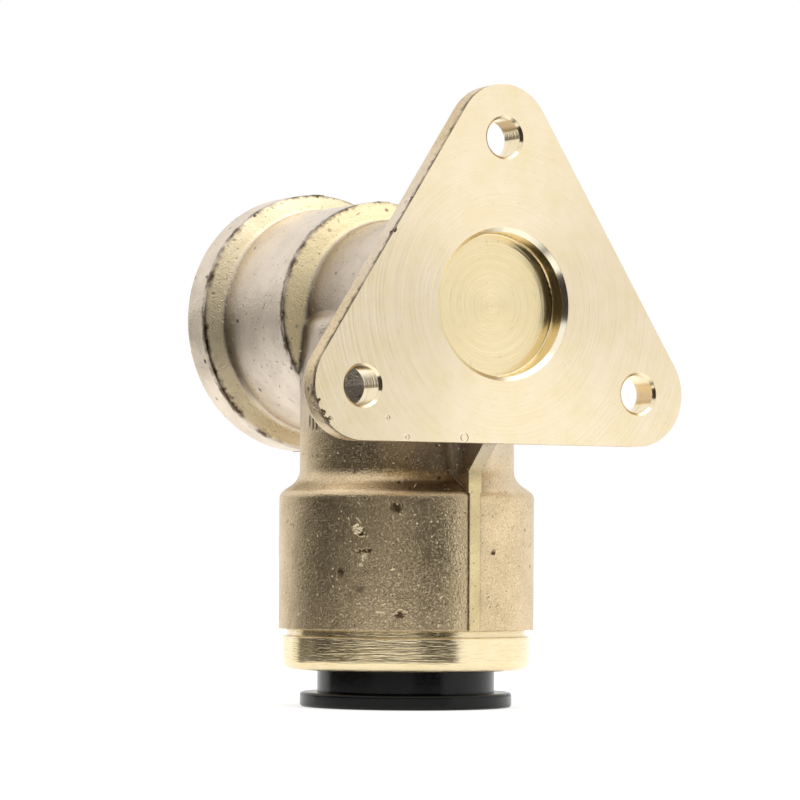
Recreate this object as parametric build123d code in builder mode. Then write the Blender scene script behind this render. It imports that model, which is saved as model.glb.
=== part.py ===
from build123d import *
import os

# Wall-plate elbow: a brass forging that joins a push-fit tube to a female pipe thread.
# The origin is on the plate's mounting face, at the boss axis. The face looks along -Y,
# the boss points along +Y, and the tube socket opens downwards, along -Z.

# Tube and pipe thread
tube_diameter = 15.0
tube_bore_clearance = 0.1
tube_stop_depth = 13.1
tube_seat_length = 11.1
waterway_diameter = 13.2
thread_major_diameter = 20.955
thread_length = 15.0
thread_entry_chamfer = 0.8

# Wall plate
plate_thickness = 3.1
plate_corner_radius = 5.4
plate_back_rounding = 1.0
screw_spacing = 32.7
screw_rise = 25.4
screw_drop = 8.6
screw_hole_diameter = 3.9
screw_hole_chamfer = 0.28
recess_diameter = 14.6
recess_depth = 2.3
recess_chamfer = 0.45
recess_floor_radius = 0.2

# Neck and threaded boss
neck_diameter = 19.8
neck_plate_fillet = 1.0
boss_start = 23.7
boss_end = 42.0
boss_wall = 1.64
flange_length = 4.3
flange_rise = 1.83
step_slope = 1.4
step_inner_fillet = 1.2
step_edge_rounding = 0.4
flange_slope = 1.2
flange_inner_fillet = 0.9
flange_edge_rounding = 0.5

# Leg and barrel of the tube socket
socket_offset = 18.75
leg_wall = 3.58
leg_top_rounding = 2.0
leg_taper = 0.5
leg_taper_depth = 8.0
leg_blend = 0.7
leg_depth = 17.4
shoulder_height = 1.5
shoulder_inner_fillet = 2.0
shoulder_rounding = 1.0
barrel_wall = 2.4

# Gusset and trimmed flash on the forging's parting plane; the boss is trimmed closer than the socket
gusset_thickness = 1.6
gusset_lap = 0.6
gusset_foot = 0.05
gusset_rise = 0.6
gusset_fillet = 1.5
flash_width = 1.3
flash_height = 0.14
trim_height = 0.05

# Seal, spacer and grab ring
o_ring_section = 2.6
o_ring_bite = 0.13
seal_wall_clearance = 0.03
seal_end_clearance = 0.1
spacer_thickness = 2.0
spacer_bore_clearance = 0.4
spacer_cone_depth = 1.7
cartridge_clearance = 0.05
ring_thickness = 0.4
ring_tooth_rise = 1.0
ring_tooth_bite = 0.13
ring_rim_overhang = 0.1
ring_tooth_count = 10
ring_slot_width = 1.8

# Retaining cap
spigot_length = 3.6
spigot_wall = 0.8
cap_neck_length = 0.75
cap_neck_inset = 0.42
cap_band_inset = 0.41
cap_band_length = 3.45
cap_edge_rounding = 1.0
cap_lip_length = 3.1
cap_mouth_chamfer = 0.3

# Release collar
collar_bore_clearance = 0.15
collar_wall = 1.59
collar_guide_clearance = 0.16
collar_travel = 2.0
collar_stop_gap = 0.35
collar_flange_rise = 1.8
collar_flange_thickness = 1.55
collar_flange_rounding = 0.35
collar_mouth_chamfer = 0.6
collar_hook = 0.45
collar_hook_gap = 0.15
collar_hook_length = 1.25
collar_hook_taper = 1.2
collar_room_clearance = 0.25
nose_wall = 1.05
nose_gap = 0.7
nose_chamfer = 0.6
finger_count = 4
finger_slot_width = 1.5
finger_slot_depth = 6.0

# Radii that follow from the tube and the thread
tube_radius = tube_diameter / 2
tube_bore_radius = tube_radius + tube_bore_clearance
waterway_radius = waterway_diameter / 2
collar_bore_radius = tube_radius + collar_bore_clearance
collar_radius = collar_bore_radius + collar_wall
lip_radius = collar_radius + collar_guide_clearance
hook_radius = lip_radius + collar_hook
cap_room_radius = hook_radius + collar_room_clearance
cartridge_radius = cap_room_radius + spigot_wall
barrel_radius = cartridge_radius + barrel_wall
leg_radius = tube_bore_radius + leg_wall
o_ring_inner_radius = tube_radius - o_ring_bite
seal_chamber_radius = o_ring_inner_radius + o_ring_section + seal_wall_clearance
thread_radius = thread_major_diameter / 2
boss_radius = thread_radius + boss_wall
flange_radius = boss_radius + flange_rise
neck_radius = neck_diameter / 2
recess_radius = recess_diameter / 2
spacer_bore_radius = tube_radius + spacer_bore_clearance
spacer_cone_radius = spacer_bore_radius + spacer_cone_depth
ring_rim_radius = spacer_cone_radius - ring_rim_overhang
ring_tip_radius = tube_radius - ring_tooth_bite
nose_radius = collar_bore_radius + nose_wall

# Levels along the socket, from the boss axis downwards
tube_stop_level = -tube_stop_depth
seal_level = tube_stop_level - tube_seat_length
spacer_level = seal_level - o_ring_section - seal_end_clearance
ring_level = spacer_level - spacer_thickness
spigot_level = ring_level - ring_thickness
barrel_end = spigot_level - spigot_length
cap_band_level = barrel_end - cap_neck_length
cap_end = cap_band_level - cap_band_length
cap_lip_level = cap_end + cap_lip_length
shoulder_level = -leg_depth
barrel_start = shoulder_level - shoulder_height
nose_tip = spigot_level - nose_gap
hook_bottom = cap_lip_level + collar_hook_gap
hook_top = hook_bottom + collar_hook_length
collar_flange_top = cap_end - collar_travel - collar_stop_gap
collar_end = collar_flange_top - collar_flange_thickness

# Stations along the boss
flange_start = boss_end - flange_length
thread_bottom = boss_end - thread_length

# The gusset runs from inside the neck down to the plate's foot, and meets the flash on the barrel's front
gusset_front = socket_offset - barrel_radius - flash_height
gusset_start = plate_thickness - gusset_lap
gusset_foot_level = gusset_foot - screw_drop - plate_corner_radius
gusset_end_level = shoulder_level + gusset_rise
gusset_top_level = -leg_taper_depth

# Plain stretches of the forging that carry trimmed flash: start, end and radius
boss_stretches = [
    (plate_thickness, boss_start, neck_radius),
    (boss_start - trim_height, flange_start, boss_radius),
    (flange_start - trim_height, boss_end, flange_radius),
]
socket_stretches = [
    (0, barrel_start, leg_radius),
    (barrel_start, barrel_end, barrel_radius),
]

# The wall plane looks out of the mounting face; the socket plane cuts through both axes
wall_plane = Plane.XZ
socket_plane = Plane(origin=(0, socket_offset, 0), x_dir=(0, 1, 0), z_dir=(1, 0, 0))
socket_axis = Axis((0, socket_offset, 0), (0, 0, 1))
screw_points = [
    (0, screw_rise - screw_drop),
    (-screw_spacing / 2, -screw_drop),
    (screw_spacing / 2, -screw_drop),
]

os.makedirs("parts", exist_ok=True)

# Gusset, with the stretch of leg that its root flares into. Its edge slopes from plate to shoulder
with BuildPart() as gusset:
    with BuildSketch(Plane((0, 0, barrel_start))):
        with Locations((0, socket_offset)):
            Circle(leg_radius)
        with Locations((0, (plate_thickness / 2 + socket_offset) / 2)):
            Rectangle(gusset_thickness, socket_offset - plate_thickness / 2)
        fillet(vertices().group_by(Axis.Y)[1], gusset_fillet)
    extrude(amount=gusset_top_level - barrel_start)
    with BuildSketch(Plane.YZ):
        with BuildLine():
            Polyline(
                (plate_thickness / 2, gusset_foot_level),
                (gusset_start, gusset_foot_level),
                (gusset_front, gusset_end_level),
                (gusset_front, barrel_start),
                (plate_thickness / 2, barrel_start),
                close=True,
            )
        make_face()
    extrude(amount=gusset_thickness / 2 + gusset_fillet, both=True, mode=Mode.SUBTRACT)

# Forged and machined body
with BuildPart() as elbow_body:
    with BuildSketch(wall_plane):
        with Locations(*screw_points):
            Circle(plate_corner_radius)
        make_hull()
    extrude(amount=-plate_thickness)
    fillet(faces().sort_by(Axis.Y)[-1].edges(), plate_back_rounding)

    # Neck, boss and end flange turn about the boss axis
    with BuildSketch(Plane.YZ):
        with BuildLine():
            FilletPolyline(
                (plate_thickness / 2, 0),
                (plate_thickness / 2, neck_radius),
                (boss_start - step_slope, neck_radius),
                (boss_start, boss_radius),
                (flange_start - flange_slope, boss_radius),
                (flange_start, flange_radius),
                (boss_end, flange_radius),
                (boss_end, 0),
                radius=[
                    0,
                    0,
                    step_inner_fillet,
                    step_edge_rounding,
                    flange_inner_fillet,
                    flange_edge_rounding,
                    flange_edge_rounding,
                    0,
                ],
                close=True,
            )
        make_face()
    revolve(axis=Axis.Y)
    neck_root = (
        edges()
        .filter_by(GeomType.CIRCLE)
        .filter_by_position(Axis.Y, plate_thickness, plate_thickness)
        .sort_by(Edge.length)[-1]
    )
    fillet(neck_root, neck_plate_fillet)

    # Leg with its tapered head, shoulder and barrel turn about the socket axis
    with BuildSketch(socket_plane):
        with BuildLine():
            FilletPolyline(
                (0, 0),
                (leg_radius - leg_taper, 0),
                (leg_radius, -leg_taper_depth),
                (leg_radius, shoulder_level),
                (barrel_radius, barrel_start),
                (barrel_radius, barrel_end),
                (0, barrel_end),
                radius=[0, leg_top_rounding, 0, shoulder_inner_fillet, shoulder_rounding, 0, 0],
                close=True,
            )
        make_face()
    revolve(axis=socket_axis)

    # Blend along the seams where the leg runs into the neck and boss
    fillet(edges().filter_by(GeomType.BSPLINE), leg_blend)

    # Gusset between the plate and the leg
    add(gusset.part)

    # Trimmed flash left standing along the parting plane
    with BuildSketch(Plane.YZ):
        for start, end, radius in boss_stretches:
            with Locations(((start + end) / 2, 0)):
                Rectangle(end - start, 2 * (radius + trim_height))
        for top, bottom, radius in socket_stretches:
            with Locations((socket_offset, (top + bottom) / 2)):
                Rectangle(2 * (radius + flash_height), top - bottom)
    extrude(amount=flash_width / 2, both=True)

    # Turned recess in the mounting face
    with BuildSketch(Plane.YZ):
        with BuildLine():
            FilletPolyline(
                (0, 0),
                (0, recess_radius + recess_chamfer),
                (recess_chamfer, recess_radius),
                (recess_depth, recess_radius),
                (recess_depth, 0),
                radius=[0, 0, 0, recess_floor_radius, 0],
                close=True,
            )
        make_face()
    revolve(axis=Axis.Y, mode=Mode.SUBTRACT)

    # Screw holes, lightly countersunk at the mounting face
    with Locations(wall_plane):
        with Locations(*screw_points):
            CounterSinkHole(
                screw_hole_diameter / 2,
                screw_hole_diameter / 2 + screw_hole_chamfer,
                depth=plate_thickness,
                counter_sink_angle=90,
            )

    # Threaded bore and the waterway behind it
    with BuildSketch(Plane.YZ):
        with BuildLine():
            Polyline(
                (boss_end, 0),
                (boss_end, thread_radius + thread_entry_chamfer),
                (boss_end - thread_entry_chamfer, thread_radius),
                (thread_bottom, thread_radius),
                (thread_bottom, waterway_radius),
                (socket_offset, waterway_radius),
                (socket_offset, 0),
                close=True,
            )
        make_face()
    revolve(axis=Axis.Y, mode=Mode.SUBTRACT)

    # Waterway, tube seat, seal chamber and cap bore of the socket
    with BuildSketch(socket_plane):
        with BuildLine():
            Polyline(
                (0, waterway_radius),
                (waterway_radius, 0),
                (waterway_radius, tube_stop_level),
                (tube_bore_radius, tube_stop_level),
                (tube_bore_radius, seal_level),
                (seal_chamber_radius, seal_level),
                (seal_chamber_radius, spacer_level),
                (cartridge_radius, spacer_level),
                (cartridge_radius, barrel_end),
                (0, barrel_end),
                close=True,
            )
        make_face()
    revolve(axis=socket_axis, mode=Mode.SUBTRACT)

elbow_body.part.label = "elbow_body"
export_step(elbow_body.part, "parts/elbow_body.step")

# Rubber seal that the tube slides through
with BuildPart() as o_ring:
    with BuildSketch(socket_plane):
        with Locations((o_ring_inner_radius + o_ring_section / 2, (seal_level + spacer_level) / 2)):
            Circle(o_ring_section / 2)
    revolve(axis=socket_axis)

o_ring.part.label = "o_ring"
export_step(o_ring.part, "parts/o_ring.step")

# Plastic spacer whose cone leaves room for the bending teeth
with BuildPart() as ring_spacer:
    with BuildSketch(socket_plane):
        with BuildLine():
            Polyline(
                (spacer_bore_radius, spacer_level),
                (cartridge_radius - cartridge_clearance, spacer_level),
                (cartridge_radius - cartridge_clearance, ring_level),
                (spacer_cone_radius, ring_level),
                (spacer_bore_radius, ring_level + spacer_cone_depth),
                close=True,
            )
        make_face()
    revolve(axis=socket_axis)

ring_spacer.part.label = "ring_spacer"
export_step(ring_spacer.part, "parts/ring_spacer.step")

# Stainless ring with teeth that lean inwards, the way the tube goes in
with BuildPart() as grab_ring:
    with BuildSketch(socket_plane):
        with BuildLine():
            Polyline(
                (cartridge_radius - cartridge_clearance, ring_level),
                (ring_rim_radius, ring_level),
                (ring_tip_radius, ring_level + ring_tooth_rise),
                (ring_tip_radius, spigot_level + ring_tooth_rise),
                (ring_rim_radius, spigot_level),
                (cartridge_radius - cartridge_clearance, spigot_level),
                close=True,
            )
        make_face()
    revolve(axis=socket_axis)
    with BuildSketch(Plane((0, socket_offset, spigot_level))):
        with PolarLocations(ring_tip_radius, ring_tooth_count):
            SlotOverall(2 * (ring_rim_radius - ring_tip_radius), ring_slot_width)
    extrude(amount=ring_thickness + ring_tooth_rise, mode=Mode.SUBTRACT)

grab_ring.part.label = "grab_ring"
export_step(grab_ring.part, "parts/grab_ring.step")

# Turned brass cap, pressed into the barrel, that traps the ring and guides the collar
with BuildPart() as retaining_cap:
    with BuildSketch(socket_plane):
        with BuildLine():
            FilletPolyline(
                (cap_room_radius, spigot_level),
                (cartridge_radius, spigot_level),
                (cartridge_radius, barrel_end),
                (barrel_radius - cap_band_inset - cap_neck_inset, barrel_end),
                (barrel_radius - cap_band_inset - cap_neck_inset, cap_band_level),
                (barrel_radius - cap_band_inset, cap_band_level),
                (barrel_radius - cap_band_inset, cap_end),
                (lip_radius + cap_mouth_chamfer, cap_end),
                (lip_radius, cap_end + cap_mouth_chamfer),
                (lip_radius, cap_lip_level),
                (cap_room_radius, cap_lip_level),
                radius=[0, 0, 0, 0, 0, 0, cap_edge_rounding, 0, 0, 0, 0],
                close=True,
            )
        make_face()
    revolve(axis=socket_axis)

retaining_cap.part.label = "retaining_cap"
export_step(retaining_cap.part, "parts/retaining_cap.step")

# Plastic collar: flange to push on, split fingers hooked behind the cap's lip, nose for the teeth
with BuildPart() as release_collar:
    with BuildSketch(socket_plane):
        with BuildLine():
            FilletPolyline(
                (collar_bore_radius, nose_tip),
                (nose_radius - nose_chamfer, nose_tip),
                (nose_radius, nose_tip - nose_chamfer),
                (nose_radius, hook_top + collar_hook_taper),
                (hook_radius, hook_top),
                (hook_radius, hook_bottom),
                (collar_radius, hook_bottom),
                (collar_radius, collar_flange_top),
                (collar_radius + collar_flange_rise, collar_flange_top),
                (collar_radius + collar_flange_rise, collar_end),
                (collar_bore_radius + collar_mouth_chamfer, collar_end),
                (collar_bore_radius, collar_end + collar_mouth_chamfer),
                radius=[0, 0, 0, 0, 0, 0, 0, 0, collar_flange_rounding, collar_flange_rounding, 0, 0],
                close=True,
            )
        make_face()
    revolve(axis=socket_axis)
    with BuildSketch(Plane((0, socket_offset, nose_tip))):
        with PolarLocations(collar_radius, finger_count):
            Rectangle(2 * (hook_radius - collar_bore_radius), finger_slot_width)
    extrude(amount=-finger_slot_depth, mode=Mode.SUBTRACT)

release_collar.part.label = "release_collar"
export_step(release_collar.part, "parts/release_collar.step")
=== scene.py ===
import math

import bpy
import numpy as np
from mathutils import Matrix, Vector


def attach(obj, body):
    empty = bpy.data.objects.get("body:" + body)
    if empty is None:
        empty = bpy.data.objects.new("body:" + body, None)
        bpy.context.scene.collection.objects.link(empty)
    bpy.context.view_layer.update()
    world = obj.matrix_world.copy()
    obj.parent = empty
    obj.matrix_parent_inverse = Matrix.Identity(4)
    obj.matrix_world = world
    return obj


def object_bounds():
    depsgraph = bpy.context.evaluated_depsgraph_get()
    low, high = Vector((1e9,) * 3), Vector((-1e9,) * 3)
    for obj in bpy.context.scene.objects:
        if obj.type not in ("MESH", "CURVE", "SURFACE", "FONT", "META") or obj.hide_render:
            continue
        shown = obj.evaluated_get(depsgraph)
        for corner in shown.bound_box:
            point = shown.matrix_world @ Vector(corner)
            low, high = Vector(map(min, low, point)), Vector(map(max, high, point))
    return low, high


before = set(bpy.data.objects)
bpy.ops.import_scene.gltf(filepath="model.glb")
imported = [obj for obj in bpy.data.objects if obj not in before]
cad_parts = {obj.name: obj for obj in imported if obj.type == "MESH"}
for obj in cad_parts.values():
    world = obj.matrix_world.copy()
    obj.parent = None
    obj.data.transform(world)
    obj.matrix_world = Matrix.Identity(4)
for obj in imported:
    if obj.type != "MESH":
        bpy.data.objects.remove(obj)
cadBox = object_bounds()
mm = 0.001
print("frame loaded:", ", ".join(sorted(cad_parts)))

# where the machined places of the forging are, in millimetres
elbow = {
    "socketOffset": 18.75,
    "plateFace": 0.02,
    "recessRadius": 7.78,
    "recessFloor": 2.35,
    "recessEdge": 0.5,
    "screwPoints": [(0.0, 16.8), (-16.35, -8.6), (16.35, -8.6)],
    "screwReach": 2.25,
    "plateBack": 3.12,
    "threadBottom": 27.0,
    "threadRadius": 10.4775,
    "mouthRadius": 11.3,
    "bossEnd": 42.0,
    "socketBore": 10.95,
    "socketTop": -11.5,
    "barrelEnd": -32.9,
    "gussetHalf": 1.05,
    "gussetBack": 1.175,
    "flashFront": 5.33,
    "plateFoot": -14.0,
    "slack": 0.02,
}


def hexColour(text):  # sRGB hex to linear colour with full alpha
    srgb = np.array([int(text[i:i + 2], 16) for i in (1, 3, 5)]) / 255
    linear = np.where(srgb <= 0.04045, srgb / 12.92, ((srgb + 0.055) / 1.055) ** 2.4)
    return (*linear.tolist(), 1.0)


# a socket, by its name or number, takes a plain value, a given output, or a node's first live output
def addNode(tree, kind, sockets=None, **settings):
    made = tree.nodes.new("ShaderNode" + kind)
    for name, value in settings.items():
        setattr(made, name, value)
    for name, value in (sockets or {}).items():
        entry = made.inputs[name]
        if isinstance(name, str):
            entry = next(socket for socket in made.inputs if socket.enabled and socket.name == name)
        if isinstance(value, bpy.types.Node):
            value = next(socket for socket in value.outputs if socket.enabled)
        if isinstance(value, bpy.types.NodeSocket):
            tree.links.new(value, entry)
        else:
            entry.default_value = value
    return made


def newMaterial(name):
    material = bpy.data.materials.new(name)
    material.use_nodes = True
    tree = material.node_tree
    tree.nodes.clear()
    return material, tree


def placeInMm(tree):
    place = addNode(tree, "TexCoord").outputs["Object"]
    return addNode(tree, "VectorMath", {0: place, "Scale": 1 / mm}, operation="SCALE")


# short straight marks at random: a line through the middle of each cell, that fades at its ends and sides
def strokes(tree, place, mark):
    length, width = mark["length"], mark["width"]
    cells = addNode(tree, "TexVoronoi", {"Vector": place, "Scale": 1 / mark["spacing"]})
    aim = addNode(tree, "VectorMath", {0: cells.outputs["Color"], 1: (0.5, 0.5, 0.5)}, operation="SUBTRACT")
    aim = addNode(tree, "VectorMath", {0: aim}, operation="NORMALIZE")
    local = addNode(tree, "VectorMath", {0: place, 1: cells.outputs["Position"]}, operation="SUBTRACT")
    along = addNode(tree, "VectorMath", {0: local, 1: aim}, operation="DOT_PRODUCT")
    beside = addNode(tree, "VectorMath", {0: aim, "Scale": along}, operation="SCALE")
    beside = addNode(tree, "VectorMath", {0: local, 1: beside}, operation="DISTANCE")
    along = addNode(tree, "Math", {0: along}, operation="ABSOLUTE")
    ends = addNode(tree, "MapRange", {"Value": along, "From Min": length, "From Max": 0.6 * length})
    thin = addNode(tree, "MapRange", {"Value": beside, "From Min": width, "From Max": 0.4 * width})
    stroke = addNode(tree, "Math", {0: ends, 1: thin}, operation="MULTIPLY")
    return stroke, cells.outputs["Color"]


# Hot forged brass, grit blasted and tumbled: dull, pinker at the boss and yellower at the socket, with grain
# that glints (partly as painted glints), soft knocks, fine flecks, and painted shade in the hollows and
# corners, on the neck by the step, on the leg and shoulder under the plate, along the plate's edge and the
# outer edges of the step and flange; the slopes of the step and flange carry a painted highlight. Sizes and
# heights are in millimetres. A pair of numbers is where a pattern, lean or place starts to count and where it
# counts in full
forged = {
    "socketColour": "#e4cca4",
    "bossColour": "#e8dac8",
    "socketShade": "#77613f",
    "bossShade": "#857866",
    # oxide tone, also the colour of painted shade in corners, on the shoulder, along the plate's edge and the
    # step and flange edges
    "oxideAndShade": "#5a4630",
    "fresh": "#f8ecca",
    "slopeHighlight": "#f6e5b8",
    "roughness": (0.30, 0.42),
    "grain": 0.19,
    "grainHeight": 0.042,
    "blast": 0.55,
    "blastHeight": 0.030,
    "peel": 2.4,
    "peelHeight": 0.060,
    "stainsPerMm": 0.22,
    "dull": {"range": (0.40, 0.65), "share": 0.16},
    "speckle": {"range": (0.46, 0.32), "share": 0.3},
    "glint": {"range": (0.56, 0.66), "share": 0.6},
    "pits": {"spacing": 1.3, "depth": 0.06, "chosen": (0.66, 0.9), "range": (0.26, 0.06)},
    "flecks": {"spacing": 0.9, "length": 0.50, "width": 0.09, "depth": 0.04},
    "brightFlecks": {"range": (0.60, 0.66), "share": 1.0},
    "darkFlecks": {"range": (0.38, 0.32), "share": 0.8},
    "edge": 0.2,
    # corner and hollow are painted shade: ambient occlusion darkens concave corners and hollows
    "corner": {"distance": 0.45, "range": (0.85, 0.35), "share": 0.7},
    "hollow": {"distance": 3.0, "range": (0.88, 0.45), "share": 0.95},
    # distances from the boss axis: where the boss tone takes over, and where the neck is
    "bossReach": (17.5, 13.5),
    "neckReach": (11.0, 10.2),
    # radius and station of the outer edges of the step and the flange, where ragged dark lines paint the dark
    # reflection of their rounded edges
    "edgeShadeLines": [(12.12, 24.0), (13.95, 38.0)],
    "edgeShadeWidth": 0.65,
    "patchRange": (0.40, 0.55),
    # stations along the boss: where the painted highlight on the slopes starts, and its shares at the step
    # and the flange
    "slope": {"lean": (-0.45, -0.75), "start": (20.0, 21.0), "from": (27.0, 37.0), "shares": (0.8, 0.6)},
    # lee and legFront place painted shade: on the neck towards the step, and on the front of the leg under
    # the plate
    "lee": {"range": (9.0, 21.0), "share": 0.6},
    "legFront": {
        "lean": (-0.3, -0.7),
        "share": 0.42,
        "x": (1.3, 0.7),
        "y": (17.0, 15.0),
        "z": (-18.2, -16.8),
    },
    # shoulder and rim place painted shade: on the shoulder under the plate, and along the plate's edge
    "shoulder": {"level": -18.3, "middle": -4.5, "reach": 7.0, "height": (1.0, 0.5), "share": 0.75},
    "rim": {"ragged": 1.2, "range": (1.3, 0.9), "share": 0.9},
    # tool marks under the plate's left corner: place, reach and spacing of the grooves along Y
    "grip": {"place": (-11.1, 18.4, -11.5), "reach": (1.5, 1.7, 1.15), "spacing": 0.75, "depth": 0.16},
    # place, radius, depth, and share of the dark oxide-and-shade tone, of the knocks on the barrel, boss,
    # flange and plate edge
    "knocks": [
        ((-10.63, 10.73, -22.62), 0.60, 0.16, 0.0),
        # painted shade: this dark knock, set low and to the right of the bright chip above, is the shade on
        # that chip's lower side
        ((-10.28, 10.45, -23.10), 0.55, 0.12, 1.0),
        ((-7.67, 7.89, -20.49), 0.85, 0.02, 0.9),
        ((-10.12, 10.13, -25.56), 0.40, 0.06, 0.0),
        ((-11.65, 12.34, -26.94), 0.65, 0.03, 0.8),
        ((-10.37, 10.44, -26.28), 0.25, 0.06, 0.2),
        ((-10.47, 10.55, -24.85), 0.38, 0.03, 0.9),
        ((-10.15, 10.17, -24.85), 0.38, 0.03, 0.9),
        ((-9.83, 9.80, -24.85), 0.38, 0.03, 0.9),
        ((-10.43, 10.49, -28.71), 0.65, 0.00, 0.5),
        ((-7.37, 7.68, -31.27), 0.75, 0.06, 0.9),
        ((-2.60, 5.72, -24.60), 0.30, 0.10, 0.6),
        ((2.42, 5.67, -24.87), 0.30, 0.20, 1.0),
        ((-9.48, 34.80, 7.55), 0.35, 0.12, 0.8),
        ((-13.23, 38.60, 4.40), 0.55, 0.14, 0.8),
        ((-10.98, 0.40, 10.10), 0.50, 0.25, 0.9),
        ((-13.14, 0.40, 6.72), 0.55, 0.25, 0.9),
        ((-21.43, 0.50, -9.41), 0.60, 0.20, 0.9),
        ((-21.60, 0.60, -11.10), 0.80, 0.22, 0.5),
        ((-20.70, 0.60, -12.60), 0.70, 0.20, 0.5),
    ],
    "knockRagged": 0.9,
    "edgeShadeRagged": 0.8,
}
# the trimmed flash and the gusset's edge are sheared bright
trimmed = dict(
    forged,
    socketColour="#e2cf9e",
    roughness=(0.23, 0.35),
    grainHeight=0.015,
    speckle=dict(forged["speckle"], share=0.15),
    glint=dict(forged["glint"], share=0.2),
    blastHeight=0.02,
    knocks=[],
)


def forgedBrass(name, skin):
    material, tree = newMaterial(name)
    place = placeInMm(tree)
    apart = addNode(tree, "SeparateXYZ", {0: place})
    x, y, z = (apart.outputs[axis] for axis in "XYZ")
    looks = addNode(tree, "SeparateXYZ", {0: addNode(tree, "TexCoord").outputs["Normal"]})
    grain = addNode(tree, "TexNoise", {"Vector": place, "Scale": 1 / skin["grain"], "Detail": 2.0})
    blast = addNode(tree, "TexNoise", {"Vector": place, "Scale": 1 / skin["blast"], "Detail": 2.0})
    peel = addNode(tree, "TexNoise", {"Vector": place, "Scale": 1 / skin["peel"], "Detail": 3.0})
    stainScale = {"Vector": place, "Scale": skin["stainsPerMm"], "Detail": 4.0, "Roughness": 0.6}
    stain = addNode(tree, "TexNoise", stainScale)
    fromBoss = addNode(tree, "VectorMath", {0: place, 1: (1, 0, 1)}, operation="MULTIPLY")
    fromBoss = addNode(tree, "VectorMath", {0: fromBoss}, operation="LENGTH")
    stroke, cellColour = strokes(tree, place, skin["flecks"])
    gaps = {}
    # painted shade: ambient occlusion darkens the corners and the hollows
    for key in ("corner", "hollow"):
        reach = {"Distance": skin[key]["distance"] * mm}
        gaps[key] = addNode(tree, "AmbientOcclusion", reach, samples=4, only_local=True).outputs["AO"]

    # shares of a coat, each from one pattern or place
    sources = {
        "dull": stain,
        "speckle": grain,
        "glint": grain,
        "brightFlecks": cellColour,
        "darkFlecks": cellColour,
        "lee": y,
        **gaps,
    }
    coat = {}
    for key, source in sources.items():
        low, high = skin[key]["range"]
        limits = {"From Min": low, "From Max": high, "To Max": skin[key]["share"]}
        coat[key] = addNode(tree, "MapRange", {"Value": source, **limits})

    # pits: the middles of a few cells
    pits = skin["pits"]
    cells = addNode(tree, "TexVoronoi", {"Vector": place, "Scale": 1 / pits["spacing"]})
    low, high = pits["chosen"]
    few = addNode(tree, "MapRange", {"Value": cells.outputs["Color"], "From Min": low, "From Max": high})
    low, high = pits["range"]
    limits = {"Value": cells.outputs["Distance"], "From Min": low, "From Max": high}
    pit = addNode(tree, "MapRange", limits, interpolation_type="SMOOTHSTEP")
    pit = addNode(tree, "Math", {0: pit, 1: few}, operation="MULTIPLY")
    # some of the strokes are bright flecks, others dark
    fleck = addNode(tree, "Math", {0: stroke, 1: coat["brightFlecks"]}, operation="MULTIPLY")
    darkFleck = addNode(tree, "Math", {0: stroke, 1: coat["darkFlecks"]}, operation="MULTIPLY")
    # tool marks: grooves along Z inside an oval
    grip = skin["grip"]
    oval = addNode(tree, "VectorMath", {0: place, 1: grip["place"]}, operation="SUBTRACT")
    oval = addNode(tree, "VectorMath", {0: oval, 1: grip["reach"]}, operation="DIVIDE")
    oval = addNode(tree, "VectorMath", {0: oval}, operation="LENGTH")
    oval = addNode(tree, "MapRange", {"Value": oval, "From Min": 1.0, "From Max": 0.7})
    wave = addNode(tree, "Math", {0: y, 1: 2 * math.pi / grip["spacing"]}, operation="MULTIPLY")
    wave = addNode(tree, "Math", {0: wave}, operation="SINE")
    wave = addNode(tree, "MapRange", {"Value": wave, "From Min": -0.1, "From Max": 0.7})
    marks = addNode(tree, "Math", {0: oval, 1: wave}, operation="MULTIPLY")

    # heights, added one to the next
    height = addNode(tree, "Math", {0: grain, 1: skin["grainHeight"]}, operation="MULTIPLY")
    layers = [
        (blast, skin["blastHeight"]),
        (peel, skin["peelHeight"]),
        (pit, -pits["depth"]),
        (fleck, -skin["flecks"]["depth"]),
        (marks, -grip["depth"]),
    ]
    for layer, amount in layers:
        height = addNode(tree, "Math", {0: layer, 1: amount, 2: height}, operation="MULTIPLY_ADD")
    # wear, together with painted shade from the dark edge lines and the shaded knock, in one mask
    wornAndShaded = addNode(tree, "Math", {0: pit, 1: marks}, operation="MAXIMUM")
    wornAndShaded = addNode(tree, "Math", {0: wornAndShaded, 1: darkFleck}, operation="MAXIMUM")
    fresh = fleck
    # the blast pattern, which is a half on average, makes the outlines of knocks and of the painted dark edge
    # lines ragged
    shift = skin["knockRagged"]
    ragged = {0: blast.outputs["Color"], 1: (shift, shift, shift), 2: place}
    ragged = addNode(tree, "VectorMath", ragged, operation="MULTIPLY_ADD")
    for centre, radius, depth, dark in skin["knocks"]:
        middle = tuple(c + shift / 2 for c in centre)
        reach = addNode(tree, "VectorMath", {0: ragged, 1: middle}, operation="DISTANCE")
        limits = {"Value": reach, "From Min": radius, "From Max": radius * 0.3}
        knock = addNode(tree, "MapRange", limits, interpolation_type="SMOOTHSTEP")
        height = addNode(tree, "Math", {0: knock, 1: -depth, 2: height}, operation="MULTIPLY_ADD")
        stainAndShade = addNode(tree, "Math", {0: knock, 1: dark}, operation="MULTIPLY")
        wornAndShaded = addNode(tree, "Math", {0: stainAndShade, 1: wornAndShaded}, operation="MAXIMUM")
        if dark < 0.5:
            fresh = addNode(tree, "Math", {0: knock, 1: fresh}, operation="MAXIMUM")
    softEdge = addNode(tree, "Bevel", {"Radius": skin["edge"] * mm}, samples=4)
    relief = {"Strength": 1.0, "Distance": mm, "Height": height, "Normal": softEdge}
    bump = addNode(tree, "Bump", relief)

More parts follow.
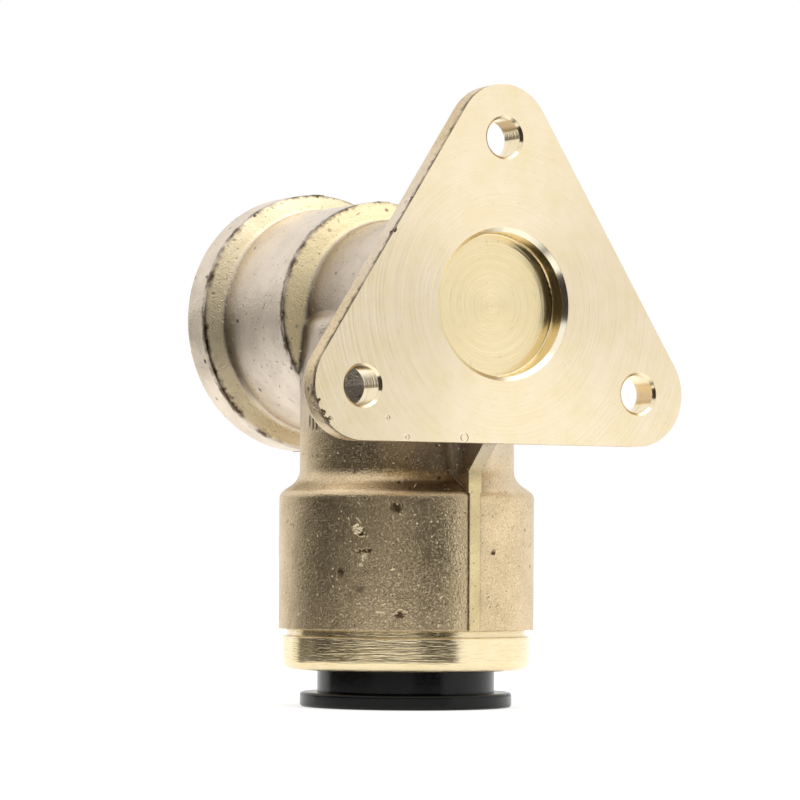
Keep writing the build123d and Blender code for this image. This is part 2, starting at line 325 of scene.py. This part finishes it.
    # painted shade: dark ragged lines, wider and narrower, along the outer edges of the step and the flange,
    # painting the dark reflection of their rounded edges
    low, high = skin["patchRange"]
    patchy = addNode(tree, "MapRange", {"Value": peel, "From Min": low, "From Max": high, "To Min": 0.2})
    shift = skin["edgeShadeRagged"]
    section = addNode(tree, "CombineXYZ", {0: fromBoss, 1: y})
    section = {0: blast.outputs["Color"], 1: (shift, shift, 0), 2: section}
    section = addNode(tree, "VectorMath", section, operation="MULTIPLY_ADD")
    width = skin["edgeShadeWidth"]
    for radius, station in skin["edgeShadeLines"]:
        edge = (radius + shift / 2, station + shift / 2, 0)
        edgeShade = addNode(tree, "VectorMath", {0: section, 1: edge}, operation="DISTANCE")
        edgeShade = addNode(tree, "MapRange", {"Value": edgeShade, "From Min": width, "From Max": 0.4 * width})
        edgeShade = addNode(tree, "Math", {0: edgeShade, 1: patchy}, operation="MULTIPLY")
        wornAndShaded = addNode(tree, "Math", {0: edgeShade, 1: wornAndShaded}, operation="MAXIMUM")

    # painted highlight: the slopes of the step and the flange, which look back at the plate, are painted
    # paler
    slopeLight = skin["slope"]
    low, high = slopeLight["lean"]
    slope = addNode(tree, "MapRange", {"Value": looks.outputs["Y"], "From Min": low, "From Max": high})
    (low, high), (atStep, atFlange) = slopeLight["from"], slopeLight["shares"]
    slopeHighlight = {"Value": y, "From Min": low, "From Max": high, "To Min": atStep, "To Max": atFlange}
    slopeHighlight = addNode(tree, "MapRange", slopeHighlight)
    low, high = slopeLight["start"]
    beyond = addNode(tree, "MapRange", {"Value": y, "From Min": low, "From Max": high})
    for share in (slopeHighlight, beyond):
        slope = addNode(tree, "Math", {0: slope, 1: share}, operation="MULTIPLY")

    # painted shade: the shoulder's upward faces under the plate are darkened in the oxide-and-shade tone
    shoulder = skin["shoulder"]
    reach = shoulder["reach"]
    aside = addNode(tree, "Math", {0: x, 1: shoulder["middle"]}, operation="SUBTRACT")
    aside = addNode(tree, "Math", {0: aside}, operation="ABSOLUTE")
    aside = addNode(tree, "MapRange", {"Value": aside, "From Min": reach, "From Max": 0.5 * reach})
    low, high = shoulder["height"]
    ledge = addNode(tree, "Math", {0: z, 1: shoulder["level"]}, operation="SUBTRACT")
    ledge = addNode(tree, "Math", {0: ledge}, operation="ABSOLUTE")
    ledge = {"Value": ledge, "From Min": low, "From Max": high, "To Max": shoulder["share"]}
    ledge = addNode(tree, "MapRange", ledge)
    upward = addNode(tree, "MapRange", {"Value": looks.outputs["Z"], "From Min": 0.3, "From Max": 0.7})
    for share in (upward, aside):
        ledge = addNode(tree, "Math", {0: ledge, 1: share}, operation="MULTIPLY")

    # painted shade: the plate's edge is darkened in patches next to the facing cut
    rim = addNode(tree, "Math", {0: blast, 1: skin["rim"]["ragged"], 2: y}, operation="MULTIPLY_ADD")
    low, high = skin["rim"]["range"]
    rim = {"Value": rim, "From Min": low, "From Max": high, "To Max": skin["rim"]["share"]}
    rim = addNode(tree, "MapRange", rim)
    low, high = skin["patchRange"]
    uneven = addNode(tree, "MapRange", {"Value": peel, "From Min": low, "From Max": high, "To Min": 0.55})
    rim = addNode(tree, "Math", {0: rim, 1: uneven}, operation="MULTIPLY")

    # painted shade: the neck is darker towards the step
    low, high = skin["neckReach"]
    onNeck = addNode(tree, "MapRange", {"Value": fromBoss, "From Min": low, "From Max": high})
    lee = addNode(tree, "Math", {0: coat["lee"], 1: onNeck}, operation="MULTIPLY")
    # painted shade: so is the front of the leg under the plate's foot, on one side of the gusset
    front = skin["legFront"]
    low, high = front["lean"]
    behind = {"Value": looks.outputs["Y"], "From Min": low, "From Max": high, "To Max": front["share"]}
    behind = addNode(tree, "MapRange", behind)
    for axis, key in ((z, "z"), (y, "y"), (x, "x")):
        low, high = front[key]
        share = addNode(tree, "MapRange", {"Value": axis, "From Min": low, "From Max": high})
        behind = addNode(tree, "Math", {0: behind, 1: share}, operation="MULTIPLY")

    # speckle and glint belong to the socket end; glint is painted glints, bright grains in the fresh tone
    low, high = skin["bossReach"]
    towardsBoss = addNode(tree, "MapRange", {"Value": fromBoss, "From Min": low, "From Max": high})
    towardsSocket = addNode(tree, "Math", {0: 1.0, 1: towardsBoss}, operation="SUBTRACT")
    speckle = addNode(tree, "Math", {0: coat["speckle"], 1: towardsSocket}, operation="MULTIPLY")
    glint = addNode(tree, "Math", {0: coat["glint"], 1: towardsSocket}, operation="MULTIPLY")
    tone = {key: hexColour(value) for key, value in skin.items() if isinstance(value, str)}
    colour = {"Factor": towardsBoss, "A": tone["socketColour"], "B": tone["bossColour"]}
    colour = addNode(tree, "Mix", colour, data_type="RGBA")
    shade = {"Factor": towardsBoss, "A": tone["socketShade"], "B": tone["bossShade"]}
    shade = addNode(tree, "Mix", shade, data_type="RGBA")
    coats = [
        (coat["dull"], tone["oxideAndShade"]),
        (coat["hollow"], shade),
        (lee, shade),
        (behind, shade),
        (speckle, tone["oxideAndShade"]),
        (glint, tone["fresh"]),
        (coat["corner"], tone["oxideAndShade"]),
        (slope, tone["slopeHighlight"]),
        (ledge, tone["oxideAndShade"]),
        (rim, tone["oxideAndShade"]),
        (wornAndShaded, tone["oxideAndShade"]),
        (fresh, tone["fresh"]),
    ]
    for share, paint in coats:
        colour = addNode(tree, "Mix", {"Factor": share, "A": colour, "B": paint}, data_type="RGBA")
    smooth, coarse = skin["roughness"]
    rough = {"Value": stain, "From Min": 0.3, "From Max": 0.7, "To Min": smooth, "To Max": coarse}
    rough = addNode(tree, "MapRange", rough)
    # flecks, glints and slopes are torn, so they scatter light from all round
    for share, amount in ((fleck, 0.4), (glint, 0.25), (slope, 0.25)):
        rough = addNode(tree, "Math", {0: share, 1: amount, 2: rough}, operation="MULTIPLY_ADD")
    surface = {"Base Color": colour, "Metallic": 1.0, "Roughness": rough, "Normal": bump}
    shader = addNode(tree, "BsdfPrincipled", surface)
    addNode(tree, "OutputMaterial", {"Surface": shader})
    return material


# Brass cut in a lathe: pale gold, with feed rings round the turning axis that draw light out across them.
# The plate is faced fine; the cap and bores are turned coarser. Sizes and heights in millimetres
facing = {
    "axisPoint": (0, 0, 0),
    "axis": (0, 1, 0),
    "colour": "#f6e4bd",
    "paleColour": "#fbebcd",
    "stainsPerMm": 0.3,
    "roughness": 0.27,
    "anisotropy": 0.7,
    "feed": 0.22,
    "feedHeight": 0.013,
    "arc": 2.0,
    "lines": 0.03,
    "lineColour": "#a8915c",
    "scratch": {"spacing": 1.5, "length": 1.0, "width": 0.07, "share": 0.30},
    "chatter": 0.9,
    "chatterHeight": 0.010,
    # place and radius of the small rings pressed into the face, and of the chips off its edge
    "dings": [((-4.66, 0.0, -13.50), 0.42), ((-11.28, 0.0, -13.58), 0.20), ((-13.5, 0.0, -11.7), 0.16)],
    "dingWidth": 0.12,
    "dingDepth": 0.02,
    "chips": [
        ((-21.4, 0.0, -10.3), 0.45),
        ((-20.9, 0.0, -11.3), 0.40),
        ((-20.4, 0.0, -12.1), 0.55),
        ((-12.8, 0.0, 7.0), 0.35),
    ],
    "chipAndShadeColour": "#6b563a",
    "chipRagged": 1.2,
    "edge": 0.05,
    "grooveShade": 0.0,
    "grooveShadeReach": 0.6,
}
# the recess is bored with a finer tool, and its edge carries a painted highlight, a paler colour
recessing = dict(
    facing,
    colour="#efdcae",
    paleColour="#f2e0b6",
    roughness=0.21,
    anisotropy=0.5,
    feedHeight=0.018,
    chatterHeight=0.028,
    dings=[],
    chips=[],
)
recessEdgeHighlight = dict(recessing, colour="#faf0d6", paleColour="#fcf3dc", roughness=0.2)
# the screw holes are drilled, which leaves deeper rings
drilling = dict(facing, roughness=0.2, feed=0.35, feedHeight=0.03, lines=0.35, arc=0.6, dings=[], chips=[])
# the cap and the bores are turned about the socket, with softer edges, and painted shade darkens the cap's
# groove
turning = dict(
    facing,
    axisPoint=(0, elbow["socketOffset"], 0),
    axis=(0, 0, 1),
    colour="#f4e0b2",
    paleColour="#f8e6c0",
    roughness=0.22,
    anisotropy=0.6,
    feed=0.16,
    feedHeight=0.034,
    arc=7.0,
    lines=0.10,
    lineColour="#8a7748",
    scratch={"spacing": 1.5, "length": 1.0, "width": 0.05, "share": 0.15},
    chatter=0.7,
    chatterHeight=0.012,
    dings=[],
    chips=[],
    edge=0.22,
    grooveShade=0.4,
)


def turnedBrass(name, cut):
    material, tree = newMaterial(name)
    place = placeInMm(tree)
    axis = cut["axis"]
    fromAxis = addNode(tree, "VectorMath", {0: place, 1: cut["axisPoint"]}, operation="SUBTRACT")
    outward = addNode(tree, "VectorMath", {0: fromAxis, 1: tuple(1 - a for a in axis)}, operation="MULTIPLY")
    radius = addNode(tree, "VectorMath", {0: outward}, operation="LENGTH")
    along = addNode(tree, "VectorMath", {0: fromAxis, 1: axis}, operation="DOT_PRODUCT")
    groove = addNode(tree, "Math", {0: radius, 1: along}, operation="ADD")
    # the light is drawn out in the surface, across the way the tool went round
    circling = addNode(tree, "VectorMath", {0: axis, 1: outward}, operation="CROSS_PRODUCT")
    trueNormal = addNode(tree, "NewGeometry").outputs["True Normal"]
    acrossGrooves = addNode(tree, "VectorMath", {0: circling, 1: trueNormal}, operation="CROSS_PRODUCT")
    # feed rings that come and go along arcs
    unit = addNode(tree, "VectorMath", {0: outward}, operation="NORMALIZE")
    unit = addNode(tree, "VectorMath", {0: unit, "Scale": cut["arc"]}, operation="SCALE")
    ring = addNode(tree, "Math", {0: groove, 1: 1 / cut["feed"]}, operation="MULTIPLY")
    ring = addNode(tree, "VectorMath", {0: axis, "Scale": ring}, operation="SCALE")
    ring = addNode(tree, "VectorMath", {0: ring, 1: unit}, operation="ADD")
    feed = addNode(tree, "TexNoise", {"Vector": ring, "Scale": 1.0, "Detail": 2.0})
    chatter = {"W": groove, "Scale": 1 / cut["chatter"], "Detail": 1.0}
    chatter = addNode(tree, "TexNoise", chatter, noise_dimensions="1D")
    height = addNode(tree, "Math", {0: feed, 1: cut["feedHeight"]}, operation="MULTIPLY")
    height = {0: chatter, 1: cut["chatterHeight"], 2: height}
    height = addNode(tree, "Math", height, operation="MULTIPLY_ADD")
    for centre, size in cut["dings"]:
        reach = addNode(tree, "VectorMath", {0: place, 1: centre}, operation="DISTANCE")
        reach = addNode(tree, "Math", {0: reach, 1: size}, operation="SUBTRACT")
        reach = addNode(tree, "Math", {0: reach}, operation="ABSOLUTE")
        limits = {"Value": reach, "From Min": cut["dingWidth"], "From Max": 0.0}
        ding = addNode(tree, "MapRange", limits, interpolation_type="SMOOTHSTEP")
        height = addNode(tree, "Math", {0: ding, 1: -cut["dingDepth"], 2: height}, operation="MULTIPLY_ADD")
    softEdge = addNode(tree, "Bevel", {"Radius": cut["edge"] * mm}, samples=4)
    relief = {"Strength": 1.0, "Distance": mm, "Height": height, "Normal": softEdge}
    bump = addNode(tree, "Bump", relief)

    stain = addNode(tree, "TexNoise", {"Vector": place, "Scale": cut["stainsPerMm"], "Detail": 3.0})
    pale = addNode(tree, "MapRange", {"Value": stain, "From Min": 0.3, "From Max": 0.7})
    line = {"Value": feed, "From Min": 0.47, "From Max": 0.33, "To Max": cut["lines"]}
    line = addNode(tree, "MapRange", line)
    scratch = cut["scratch"]
    stroke = strokes(tree, place, scratch)[0]
    stroke = addNode(tree, "Math", {0: stroke, 1: scratch["share"]}, operation="MULTIPLY")
    coats = [(pale, "paleColour"), (line, "lineColour"), (stroke, "lineColour")]
    # painted shade: ambient occlusion darkens the cap's groove, in the chip tone
    if cut["grooveShade"]:
        gap = addNode(tree, "AmbientOcclusion", {"Distance": cut["grooveShadeReach"] * mm}, samples=4)
        gap = {"Value": gap.outputs["AO"], "From Min": 0.85, "From Max": 0.5, "To Max": cut["grooveShade"]}
        coats.append((addNode(tree, "MapRange", gap), "chipAndShadeColour"))
    shift = cut["chipRagged"]
    ragged = addNode(tree, "TexNoise", {"Vector": place, "Scale": 2.0, "Detail": 2.0})
    ragged = {0: ragged.outputs["Color"], 1: (shift, shift, shift), 2: place}
    ragged = addNode(tree, "VectorMath", ragged, operation="MULTIPLY_ADD")
    for centre, size in cut["chips"]:
        middle = tuple(c + shift / 2 for c in centre)
        reach = addNode(tree, "VectorMath", {0: ragged, 1: middle}, operation="DISTANCE")
        chip = addNode(tree, "MapRange", {"Value": reach, "From Min": size, "From Max": 0.7 * size})
        coats.append((chip, "chipAndShadeColour"))
    colour = hexColour(cut["colour"])
    for share, tone in coats:
        paint = {"Factor": share, "A": colour, "B": hexColour(cut[tone])}
        colour = addNode(tree, "Mix", paint, data_type="RGBA")
    surface = {"Base Color": colour, "Metallic": 1.0, "Roughness": cut["roughness"], "Normal": bump}
    surface.update({"Anisotropic": cut["anisotropy"], "Tangent": acrossGrooves})
    shader = addNode(tree, "BsdfPrincipled", surface)
    addNode(tree, "OutputMaterial", {"Surface": shader})
    return material


# Moulded black acetal: satin, with the faint pebble of the mould. The seal is matt rubber, and the spacer is
# white acetal
acetal = {"colour": "#050506", "roughness": 0.19, "gloss": 0.27, "pebble": 0.35, "pebbleHeight": 0.0015}
rubber = dict(acetal, colour="#1b1b1c", roughness=0.6)
whiteAcetal = dict(acetal, colour="#d9d7d0", roughness=0.45)


def mouldedPlastic(name, skin):
    material, tree = newMaterial(name)
    place = placeInMm(tree)
    pebble = addNode(tree, "TexNoise", {"Vector": place, "Scale": 1 / skin["pebble"], "Detail": 2.0})
    height = addNode(tree, "Math", {0: pebble, 1: skin["pebbleHeight"]}, operation="MULTIPLY")
    bump = addNode(tree, "Bump", {"Strength": 1.0, "Distance": mm, "Height": height})
    smooth, coarse = skin["roughness"] - 0.04, skin["roughness"] + 0.06
    rough = {"Value": pebble, "From Min": 0.3, "From Max": 0.7, "To Min": smooth, "To Max": coarse}
    rough = addNode(tree, "MapRange", rough)
    surface = {"Base Color": hexColour(skin["colour"]), "Roughness": rough, "Normal": bump}
    surface["Specular IOR Level"] = skin["gloss"]
    shader = addNode(tree, "BsdfPrincipled", surface)
    addNode(tree, "OutputMaterial", {"Surface": shader})
    return material


# Spring steel of the grab ring, bright rolled: a grey mirror with a faint uneven haze
steel = {"colour": "#cfd0d0", "roughness": (0.18, 0.30), "hazesPerMm": 3.0}


def springSteel():
    material, tree = newMaterial("springSteel")
    place = placeInMm(tree)
    rolled = addNode(tree, "TexNoise", {"Vector": place, "Scale": steel["hazesPerMm"], "Detail": 3.0})
    smooth, coarse = steel["roughness"]
    rough = {"Value": rolled, "From Min": 0.3, "From Max": 0.7, "To Min": smooth, "To Max": coarse}
    rough = addNode(tree, "MapRange", rough)
    surface = {"Base Color": hexColour(steel["colour"]), "Metallic": 1.0, "Roughness": rough}
    shader = addNode(tree, "BsdfPrincipled", surface)
    addNode(tree, "OutputMaterial", {"Surface": shader})
    return material


forgedSkin = forgedBrass("forgedBrass", forged)
trimmedSkin = forgedBrass("trimmedBrass", trimmed)
recessSkin = turnedBrass("recessBrass", recessing)
recessHighlightSkin = turnedBrass("recessHighlightBrass", recessEdgeHighlight)
facedSkin = turnedBrass("facedBrass", facing)
boredSkin = turnedBrass("turnedBrass", turning)
drilledSkins = []
for px, pz in elbow["screwPoints"]:
    drilledSkins.append(turnedBrass("drilledBrass", dict(drilling, axisPoint=(px, 0, pz))))
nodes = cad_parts


def dress(name, *materials):
    mesh = nodes[name].data
    mesh.materials.clear()
    for material in materials:
        mesh.materials.append(material)
    return mesh


dress("retaining_cap", boredSkin)
dress("release_collar", mouldedPlastic("satinAcetal", acetal))
dress("o_ring", mouldedPlastic("sealRubber", rubber))
dress("ring_spacer", mouldedPlastic("spacerAcetal", whiteAcetal))
dress("grab_ring", springSteel())

# faces of the forging that a tool has cut, told by their place and the way they look
skins = [forgedSkin, facedSkin, boredSkin, trimmedSkin, recessSkin, recessHighlightSkin, *drilledSkins]
body = dress("elbow_body", *skins)
count = len(body.polygons)
centre = np.empty(count * 3)
looks = np.empty(count * 3)
body.polygons.foreach_get("center", centre)
body.polygons.foreach_get("normal", looks)
x, y, z = centre.reshape(-1, 3).T / mm
looksY, looksZ = looks.reshape(-1, 3).T[1:]
square = 0.9  # a face looks squarely along an axis
fromBoss = np.hypot(x, z)
fromSocket = np.hypot(x, y - elbow["socketOffset"])
behindFace = y > elbow["plateFace"]
faced = (y < elbow["plateFace"]) & (looksY < -square)
faced |= (y > elbow["bossEnd"] - elbow["slack"]) & (looksY > square)
faced |= (fromBoss < elbow["mouthRadius"]) & (y > elbow["threadBottom"] - 0.1)
recessed = (fromBoss < elbow["recessRadius"]) & (y < elbow["recessFloor"]) & behindFace
# painted highlight: the faces round the recess edge take the paler material
recessEdgeHighlit = recessed & (y < elbow["recessEdge"]) & (np.abs(looksY) > 0.4)
drilled = []
for px, pz in elbow["screwPoints"]:
    inHole = np.hypot(x - px, z - pz) < elbow["screwReach"]
    drilled.append(inHole & behindFace & (y < elbow["plateBack"]))
bored = (fromSocket < elbow["socketBore"]) & (z < elbow["socketTop"])
bored |= (z < elbow["barrelEnd"] + elbow["slack"]) & (looksZ < -square)
sheared = (np.abs(x) < elbow["gussetHalf"]) & (y > elbow["gussetBack"]) & (y < elbow["flashFront"])
sheared &= (z < elbow["plateFoot"]) & (looksY < -0.5)
finish = np.select([recessEdgeHighlit, recessed, faced, bored, sheared, *drilled], [5, 4, 1, 2, 3, 6, 7, 8], 0)
body.polygons.foreach_set("material_index", finish.astype(np.int32))
print("materials on", len(nodes), "nodes;", int((finish > 0).sum()), "machined faces")


# points is an array of rows, columns and xyz; a closed direction joins its last line to its first
def surfaceMesh(name, points, closeRows=False, closeColumns=False):
    rows, columns = points.shape[:2]
    row = np.arange(rows if closeRows else rows - 1)
    column = np.arange(columns if closeColumns else columns - 1)
    row, column = (a.ravel() for a in np.meshgrid(row, column, indexing="ij"))
    nextRow, nextColumn = (row + 1) % rows, (column + 1) % columns
    corners = [(row, column), (nextRow, column), (nextRow, nextColumn), (row, nextColumn)]
    quads = np.stack([r * columns + c for r, c in corners], axis=1)
    mesh = bpy.data.meshes.new(name)
    mesh.from_pydata(points.reshape(-1, 3).tolist(), [], quads.tolist())
    mesh.update()
    made = bpy.data.objects.new(name, mesh)
    bpy.context.scene.collection.objects.link(made)
    return made


# Female parallel pipe thread, in millimetres. A rounded 55 degree profile is close to a cosine wave
thread = {
    "pitch": 1.814,
    "depth": 1.162,
    "bottom": elbow["threadBottom"] + 0.05,
    "mouth": 41.2,
    "runOut": 2.4,
    "proud": 0.01,
    "sunk": 0.3,
    "around": 160,
    "rowsPerPitch": 18,
}


def pipeThread():
    # bore radius = major radius - depth/2 (1 + cos of the helix phase), run out at the bottom,
    # and cut back by the 45 degree mouth; the last two rows close the sleeve inside the wall
    bottom, mouth, pitch = thread["bottom"], thread["mouth"], thread["pitch"]
    rows = int((mouth - bottom) / pitch * thread["rowsPerPitch"])
    angle = np.linspace(0, 2 * math.pi, thread["around"], endpoint=False)[None, :]
    station = np.linspace(bottom, mouth, rows)[:, None]
    ridge = (1 + np.cos(2 * math.pi * station / pitch - angle)) / 2
    fade = np.clip((station - bottom) / thread["runOut"], 0, 1)
    root = elbow["threadRadius"] - thread["proud"]
    bore = root - thread["depth"] * ridge * fade ** 2 * (3 - 2 * fade)
    bore = np.maximum(bore, root - (mouth - station))
    wall = np.full((1, thread["around"]), elbow["threadRadius"] + thread["sunk"])
    radius = np.concatenate([bore, wall, wall])
    station = np.concatenate([station, station[-1:], station[:1]]) + 0 * angle
    points = np.stack([radius * np.cos(angle), station, radius * np.sin(angle)], axis=2) * mm
    made = surfaceMesh("pipe_thread", points, closeRows=True, closeColumns=True)
    made.data.materials.append(facedSkin)
    made.data.shade_smooth()
    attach(made, "elbow")
    return made


pipeThread()
print("thread cut")

# Soft white studio, in metres: pale floor, white surround, and cards in front that the metal mirrors as its
# dark side
studio = {
    "floor": "#b4b4b2",
    "floorGlow": 0.68,
    "floorSize": 80.0,
    "surround": "#ffffff",
    "surroundStrength": 1.0,
    "cardRadius": 0.85,
    "cardLift": 0.001,
    "footLift": 0.0005,
    # from and to in degrees round the object, top, shade, and where the card's foot starts on the floor
    "cards": [
        (-160, -150, 0.10, "#bcb8b0", 0.80),
        (-150, -128, 0.10, "#5a5854", 0.045),
        (-128, -92, 0.40, "#38342f", 0.045),
        (-92, -30, 0.30, "#3c3a37", 0.062),
        (-30, 18, 0.30, "#171512", 0.022),
    ],
    "topLamp": {"place": (0.15, -0.10, 1.0), "size": 1.1, "power": 4.5},
}


# matt pale paper: camera, mirror and see-through rays find it white, and it takes light and shadow as well
def paleFloor(colour, glow):
    material, tree = newMaterial("paleFloor")
    path = addNode(tree, "LightPath").outputs
    seen = {0: path["Is Camera Ray"], 1: path["Is Glossy Ray"]}
    seen = addNode(tree, "Math", seen, operation="MAXIMUM")
    seen = addNode(tree, "Math", {0: seen, 1: path["Is Transmission Ray"]}, operation="MAXIMUM")
    strength = addNode(tree, "Math", {0: seen, 1: glow}, operation="MULTIPLY")
    white = addNode(tree, "Emission", {"Strength": strength})
    matt = addNode(tree, "BsdfDiffuse", {"Color": hexColour(colour)})
    both = addNode(tree, "AddShader", {0: white, 1: matt})
    addNode(tree, "OutputMaterial", {"Surface": both})
    return material


def litCard(name, colour):
    material, tree = newMaterial(name)
    glow = addNode(tree, "Emission", {"Color": hexColour(colour), "Strength": 1.0})
    addNode(tree, "OutputMaterial", {"Surface": glow})
    return material


floorLevel = cadBox[0].z
reach = np.linspace(-0.5, 0.5, 5) * studio["floorSize"]
across, deep = np.meshgrid(reach, reach, indexing="ij")
floor = surfaceMesh("floor", np.stack([across, deep, np.full_like(across, floorLevel)], axis=2)[::-1])
floor.data.materials.append(paleFloor(studio["floor"], studio["floorGlow"]))
radius = studio["cardRadius"]
for number, (start, end, top, shade, footStart) in enumerate(studio["cards"]):
    # card: a stretch of an upright cylinder round the object
    turn = np.radians(np.linspace(start, end, 25))[:, None]
    rise = np.linspace(floorLevel + studio["cardLift"], top, 4)[None, :] + 0 * turn
    points = np.stack([radius * np.sin(turn) + 0 * rise, -radius * np.cos(turn) + 0 * rise, rise], axis=2)
    card = surfaceMesh(f"card_{number}", points)
    card.data.materials.append(litCard(f"cardShade{number}", shade))
    card.visible_camera = False
    # its foot lies on the floor in front, for the metal alone
    spread = np.linspace(footStart, radius, 4)[None, :]
    level = floorLevel + studio["footLift"] + 0 * spread * turn
    points = np.stack([spread * np.sin(turn), -spread * np.cos(turn), level], axis=2)
    foot = surfaceMesh(f"card_foot_{number}", points)
    foot.data.materials.append(card.data.materials[0])
    foot.visible_camera = foot.visible_diffuse = foot.visible_shadow = foot.visible_transmission = False

world = bpy.data.worlds.new("whiteStudio")
bpy.context.scene.world = world
world.use_nodes = True
world.node_tree.nodes.clear()
light = {"Color": hexColour(studio["surround"]), "Strength": studio["surroundStrength"]}
light = addNode(world.node_tree, "Background", light)
addNode(world.node_tree, "OutputWorld", {"Surface": light})

lamp = bpy.data.lights.new("topLamp", "AREA")
lamp.size = studio["topLamp"]["size"]
lamp.energy = studio["topLamp"]["power"]
lampObject = bpy.data.objects.new("topLamp", lamp)
lampObject.location = studio["topLamp"]["place"]
bpy.context.scene.collection.objects.link(lampObject)
print("studio lit")

# camera of the photograph: low, to the left of the plate, with a long lens; degrees and millimetres
view = {
    "azimuth": -30.92,
    "elevation": -2.354,
    "roll": 0.321,
    "distance": 386.49,
    "aim": (-4.439, 12.814, -9.333),
    "lens": 169.47,
    "sensor": 36,
}
turn, tilt, roll = (math.radians(view[k]) for k in ("azimuth", "elevation", "roll"))
back = Vector((math.sin(turn) * math.cos(tilt), -math.cos(turn) * math.cos(tilt), math.sin(tilt)))
level = Vector((math.cos(turn), math.sin(turn), 0))
upright = back.cross(level)
right = level * math.cos(roll) + upright * math.sin(roll)
up = upright * math.cos(roll) - level * math.sin(roll)
camera = bpy.data.objects.new("camera", bpy.data.cameras.new("camera"))
camera.data.sensor_width = view["sensor"]
camera.data.lens = view["lens"]
camera.data.clip_start = 0.01
stand = Matrix.Translation((Vector(view["aim"]) + back * view["distance"]) * mm)
camera.matrix_world = stand @ Matrix((right, up, back)).transposed().to_4x4()
bpy.context.scene.collection.objects.link(camera)
bpy.context.scene.camera = camera
bpy.context.scene.view_settings.view_transform = "Standard"
print("camera set")
